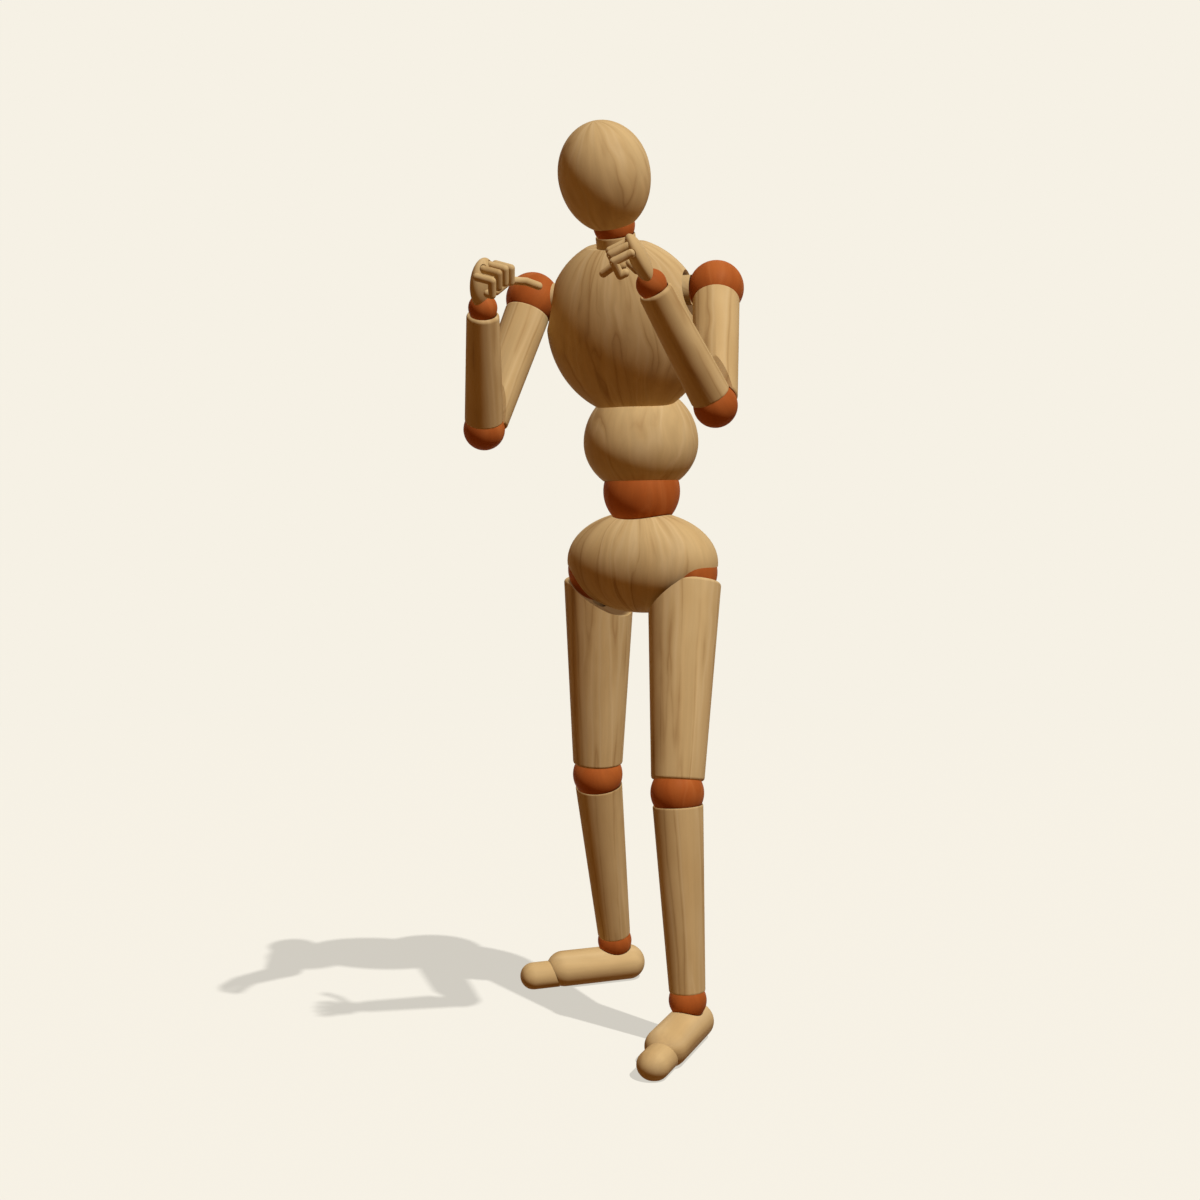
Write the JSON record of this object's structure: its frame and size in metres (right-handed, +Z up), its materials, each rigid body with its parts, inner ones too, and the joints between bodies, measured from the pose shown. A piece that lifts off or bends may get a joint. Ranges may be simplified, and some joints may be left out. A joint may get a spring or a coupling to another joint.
{
  "type": "wooden artist mannequin",
  "caption": "Jointed wooden artist figure in a guard pose, egg-shaped torso blocks and turned limbs joined by stained balls, with jointed hands, standing on flat-soled feet.",
  "frame": {"origin": "on the floor, under the middle of the figure's outline in this pose", "axes": "+Z up, the pelvis faces -Y, the figure's left is +X"},
  "size_m": [0.1004, 0.1084, 0.291],
  "materials": {
    "natural_wood": "pale natural wood, satin varnish, fine lengthwise grain",
    "stained_wood": "wood stained reddish brown, satin varnish",
    "steel": "plain drawn spring wire"
  },
  "bodies": {
    "pelvis": {"pelvis": "natural_wood", "hip_spring": "steel"},
    "waist_ball": {"waist_ball": "stained_wood"},
    "abdomen": {"abdomen": "natural_wood"},
    "chest": {"chest": "natural_wood", "chest_spring": "steel"},
    "neck": {"neck": "natural_wood"},
    "neck_ball": {"neck_ball": "stained_wood"},
    "head": {"head": "natural_wood"},
    "shoulder_stub_right": {"shoulder_stub_right": "natural_wood"},
    "shoulder_ball_right": {"shoulder_ball_right": "stained_wood"},
    "upper_arm_right": {"upper_arm_right": "natural_wood", "upper_arm_spring_right": "steel"},
    "forearm_right": {"elbow_ball_right": "stained_wood", "forearm_right": "natural_wood", "forearm_spring_right": "steel"},
    "wrist_ball_right": {"wrist_ball_right": "stained_wood"},
    "palm_right": {"palm_right": "natural_wood"},
    "index_finger_right": {"index_finger_right": "natural_wood"},
    "middle_finger_right": {"middle_finger_right": "natural_wood"},
    "ring_finger_right": {"ring_finger_right": "natural_wood"},
    "little_finger_right": {"little_finger_right": "natural_wood"},
    "thumb_right": {"thumb_right": "natural_wood"},
    "hip_ball_right": {"hip_ball_right": "stained_wood"},
    "thigh_right": {"thigh_right": "natural_wood", "thigh_spring_right": "steel"},
    "knee_ball_right": {"knee_ball_right": "stained_wood"},
    "shin_right": {"shin_right": "natural_wood", "shin_spring_right": "steel"},
    "ankle_ball_right": {"ankle_ball_right": "stained_wood"},
    "foot_right": {"foot_right": "natural_wood", "toe_right": "natural_wood"},
    "shoulder_stub_left": {"shoulder_stub_left": "natural_wood"},
    "shoulder_ball_left": {"shoulder_ball_left": "stained_wood"},
    "upper_arm_left": {"upper_arm_left": "natural_wood", "upper_arm_spring_left": "steel"},
    "forearm_left": {"elbow_ball_left": "stained_wood", "forearm_left": "natural_wood", "forearm_spring_left": "steel"},
    "wrist_ball_left": {"wrist_ball_left": "stained_wood"},
    "palm_left": {"palm_left": "natural_wood"},
    "index_finger_left": {"index_finger_left": "natural_wood"},
    "middle_finger_left": {"middle_finger_left": "natural_wood"},
    "ring_finger_left": {"ring_finger_left": "natural_wood"},
    "little_finger_left": {"little_finger_left": "natural_wood"},
    "thumb_left": {"thumb_left": "natural_wood"},
    "hip_ball_left": {"hip_ball_left": "stained_wood"},
    "thigh_left": {"thigh_left": "natural_wood", "thigh_spring_left": "steel"},
    "knee_ball_left": {"knee_ball_left": "stained_wood"},
    "shin_left": {"shin_left": "natural_wood", "shin_spring_left": "steel"},
    "ankle_ball_left": {"ankle_ball_left": "stained_wood"},
    "foot_left": {"foot_left": "natural_wood", "toe_left": "natural_wood"}
  },
  "joints": [
    {"name": "waist_turn", "type": "hinge", "parent": "pelvis", "child": "waist_ball", "pos_m": [-0.00234, 0.02254, 0.1777], "axis": [0, 0, 1], "range_deg": [-60, 45]},
    {"name": "waist_side", "type": "hinge", "parent": "waist_ball", "child": "abdomen", "pos_m": [-0.00234, 0.02254, 0.1777], "axis": [-0.2351, 0.972, 0], "range_deg": [-10, 14]},
    {"name": "chest_lean", "type": "hinge", "parent": "abdomen", "child": "chest", "pos_m": [-0.00262, 0.02248, 0.1939], "axis": [0.9718, 0.2351, 0.0175], "range_deg": [-25, 3]},
    {"name": "neck_turn", "type": "hinge", "parent": "chest", "child": "neck", "pos_m": [0.00266, -0.00431, 0.26106], "axis": [0.0727, -0.3695, 0.9264], "range_deg": [-70, 70]},
    {"name": "head_nod", "type": "hinge", "parent": "neck", "child": "neck_ball", "pos_m": [0.00266, -0.00431, 0.26106], "axis": [0.9718, 0.2351, 0.0175], "range_deg": [-20, 10]},
    {"name": "head_tilt", "type": "hinge", "parent": "neck_ball", "child": "head", "pos_m": [0.00266, -0.00431, 0.26106], "axis": [-0.2201, 0.8784, 0.4241], "range_deg": [-8, 14]},
    {"name": "hip_swing_right", "type": "hinge", "parent": "pelvis", "child": "hip_ball_right", "pos_m": [-0.01884, 0.02254, 0.151], "axis": [1, 0, 0], "range_deg": [-40, 16]},
    {"name": "hip_spread_right", "type": "hinge", "parent": "hip_ball_right", "child": "thigh_right", "pos_m": [-0.01884, 0.02254, 0.151], "axis": [0, 0.9981, 0.0612], "range_deg": [-2, 11]},
    {"name": "knee_bend_right", "type": "hinge", "parent": "thigh_right", "child": "knee_ball_right", "pos_m": [-0.02225, 0.02697, 0.07872], "axis": [0.9989, 0.0029, -0.0469], "range_deg": [-11, 36]},
    {"name": "shin_turn_right", "type": "hinge", "parent": "knee_ball_right", "child": "shin_right", "pos_m": [-0.02225, 0.02697, 0.07872], "axis": [0.0461, -0.2547, 0.9659], "range_deg": [-40, 80]},
    {"name": "ankle_pitch_right", "type": "hinge", "parent": "shin_right", "child": "ankle_ball_right", "pos_m": [-0.02534, 0.04404, 0.014], "axis": [0.7503, -0.6296, -0.2019], "range_deg": [-12, 20]},
    {"name": "ankle_roll_right", "type": "hinge", "parent": "ankle_ball_right", "child": "foot_right", "pos_m": [-0.02534, 0.04404, 0.014], "axis": [0.6428, 0.766, 0], "range_deg": [-6, 20]},
    {"name": "hip_swing_left", "type": "hinge", "parent": "pelvis", "child": "hip_ball_left", "pos_m": [0.01416, 0.02254, 0.151], "axis": [1, 0, 0], "range_deg": [-26, 32]},
    {"name": "hip_spread_left", "type": "hinge", "parent": "hip_ball_left", "child": "thigh_left", "pos_m": [0.01416, 0.02254, 0.151], "axis": [0, 0.9735, -0.2289], "range_deg": [-9, 4]},
    {"name": "knee_bend_left", "type": "hinge", "parent": "thigh_left", "child": "knee_ball_left", "pos_m": [0.02045, 0.00601, 0.08069], "axis": [0.9962, 0.0199, 0.0844], "range_deg": [-10, 36]},
    {"name": "shin_turn_left", "type": "hinge", "parent": "knee_ball_left", "child": "shin_left", "pos_m": [0.02045, 0.00601, 0.08069], "axis": [-0.0852, 0.0443, 0.9954], "range_deg": [-60, 40]},
    {"name": "ankle_pitch_left", "type": "hinge", "parent": "shin_left", "child": "ankle_ball_left", "pos_m": [0.02616, 0.00304, 0.014], "axis": [0.9872, 0.1387, 0.0784], "range_deg": [-20, 14]},
    {"name": "ankle_roll_left", "type": "hinge", "parent": "ankle_ball_left", "child": "foot_left", "pos_m": [0.02616, 0.00304, 0.014], "axis": [-0.1392, 0.9903, 0], "range_deg": [-12, 8]},
    {"name": "shoulder_swing_right", "type": "hinge", "parent": "chest", "child": "shoulder_stub_right", "pos_m": [-0.02868, -0.00338, 0.24015], "axis": [0.9718, 0.2351, 0.0175], "range_deg": [-44, 8]},
    {"name": "shoulder_raise_right", "type": "hinge", "parent": "shoulder_stub_right", "child": "shoulder_ball_right", "pos_m": [-0.02868, -0.00338, 0.24015], "axis": [-0.2067, 0.8855, -0.4162], "range_deg": [0, 60]},
    {"name": "arm_twist_right", "type": "hinge", "parent": "shoulder_ball_right", "child": "upper_arm_right", "pos_m": [-0.02868, -0.00338, 0.24015], "axis": [0.0946, 0.4415, 0.8923], "range_deg": [-60, 44]},
    {"name": "elbow_bend_right", "type": "hinge", "parent": "upper_arm_right", "child": "forearm_right", "pos_m": [-0.03322, -0.02457, 0.19732], "axis": [0.9452, 0.2414, -0.2197], "range_deg": [-6, 125]},
    {"name": "hand_turn_right", "type": "hinge", "parent": "forearm_right", "child": "wrist_ball_right", "pos_m": [-0.02028, -0.04297, 0.23278], "axis": [-0.3081, 0.4381, -0.8445], "range_deg": [-80, 80]},
    {"name": "hand_bend_right", "type": "hinge", "parent": "wrist_ball_right", "child": "palm_right", "pos_m": [-0.02028, -0.04297, 0.23278], "axis": [-0.0068, -0.8886, -0.4586], "range_deg": [-20, 20]},
    {"name": "shoulder_swing_left", "type": "hinge", "parent": "chest", "child": "shoulder_stub_left", "pos_m": [0.03079, 0.01101, 0.24121], "axis": [0.9718, 0.2351, 0.0175], "range_deg": [-32, 6]},
    {"name": "shoulder_raise_left", "type": "hinge", "parent": "shoulder_stub_left", "child": "shoulder_ball_left", "pos_m": [0.03079, 0.01101, 0.24121], "axis": [-0.1781, 0.7807, -0.5989], "range_deg": [-60, 0]},
    {"name": "arm_twist_left", "type": "hinge", "parent": "shoulder_ball_left", "child": "upper_arm_left", "pos_m": [0.03079, 0.01101, 0.24121], "axis": [-0.2734, 0.5454, 0.7923], "range_deg": [-60, 60]},
    {"name": "elbow_bend_left", "type": "hinge", "parent": "upper_arm_left", "child": "forearm_left", "pos_m": [0.04392, -0.01517, 0.20318], "axis": [0.9566, 0.0677, 0.2835], "range_deg": [-18, 112]},
    {"name": "hand_turn_left", "type": "hinge", "parent": "forearm_left", "child": "wrist_ball_left", "pos_m": [0.03587, -0.03984, 0.23621], "axis": [0.1915, 0.5873, -0.7864], "range_deg": [-80, 80]},
    {"name": "hand_bend_left", "type": "hinge", "parent": "wrist_ball_left", "child": "palm_left", "pos_m": [0.03587, -0.03984, 0.23621], "axis": [0.5293, -0.7365, -0.4211], "range_deg": [-20, 20]},
    {"name": "thumb_knuckle_right", "type": "hinge", "parent": "palm_right", "child": "thumb_right", "pos_m": [-0.01694, -0.04078, 0.23766], "axis": [-0.0068, -0.8886, -0.4586], "range_deg": [-5, 8]},
    {"name": "index_knuckle_right", "type": "hinge", "parent": "palm_right", "child": "index_finger_right", "pos_m": [-0.01514, -0.04337, 0.24526], "axis": [-0.0068, -0.8886, -0.4586], "range_deg": [-5, 12]},
    {"name": "middle_knuckle_right", "type": "hinge", "parent": "palm_right", "child": "middle_finger_right", "pos_m": [-0.01482, -0.04705, 0.24453], "axis": [-0.0068, -0.8886, -0.4586], "range_deg": [-8, 12]},
    {"name": "ring_knuckle_right", "type": "hinge", "parent": "palm_right", "child": "ring_finger_right", "pos_m": [-0.01484, -0.05025, 0.24288], "axis": [-0.0068, -0.8886, -0.4586], "range_deg": [-8, 12]},
    {"name": "little_knuckle_right", "type": "hinge", "parent": "palm_right", "child": "little_finger_right", "pos_m": [-0.01521, -0.05296, 0.2403], "axis": [-0.0068, -0.8886, -0.4586], "range_deg": [-12, 12]},
    {"name": "thumb_knuckle_left", "type": "hinge", "parent": "palm_left", "child": "thumb_left", "pos_m": [0.03123, -0.0399, 0.24047], "axis": [0.5293, -0.7365, -0.4211], "range_deg": [-8, 5]},
    {"name": "index_knuckle_left", "type": "hinge", "parent": "palm_left", "child": "index_finger_left", "pos_m": [0.02997, -0.04338, 0.24782], "axis": [0.5293, -0.7365, -0.4211], "range_deg": [-12, 5]},
    {"name": "middle_knuckle_left", "type": "hinge", "parent": "palm_left", "child": "middle_finger_left", "pos_m": [0.0317, -0.04666, 0.24718], "axis": [0.5293, -0.7365, -0.4211], "range_deg": [-12, 8]},
    {"name": "ring_knuckle_left", "type": "hinge", "parent": "palm_left", "child": "ring_finger_left", "pos_m": [0.0336, -0.04932, 0.24567], "axis": [0.5293, -0.7365, -0.4211], "range_deg": [-12, 8]},
    {"name": "little_knuckle_left", "type": "hinge", "parent": "palm_left", "child": "little_finger_left", "pos_m": [0.03568, -0.05134, 0.24327], "axis": [0.5293, -0.7365, -0.4211], "range_deg": [-12, 12]}
  ]
}
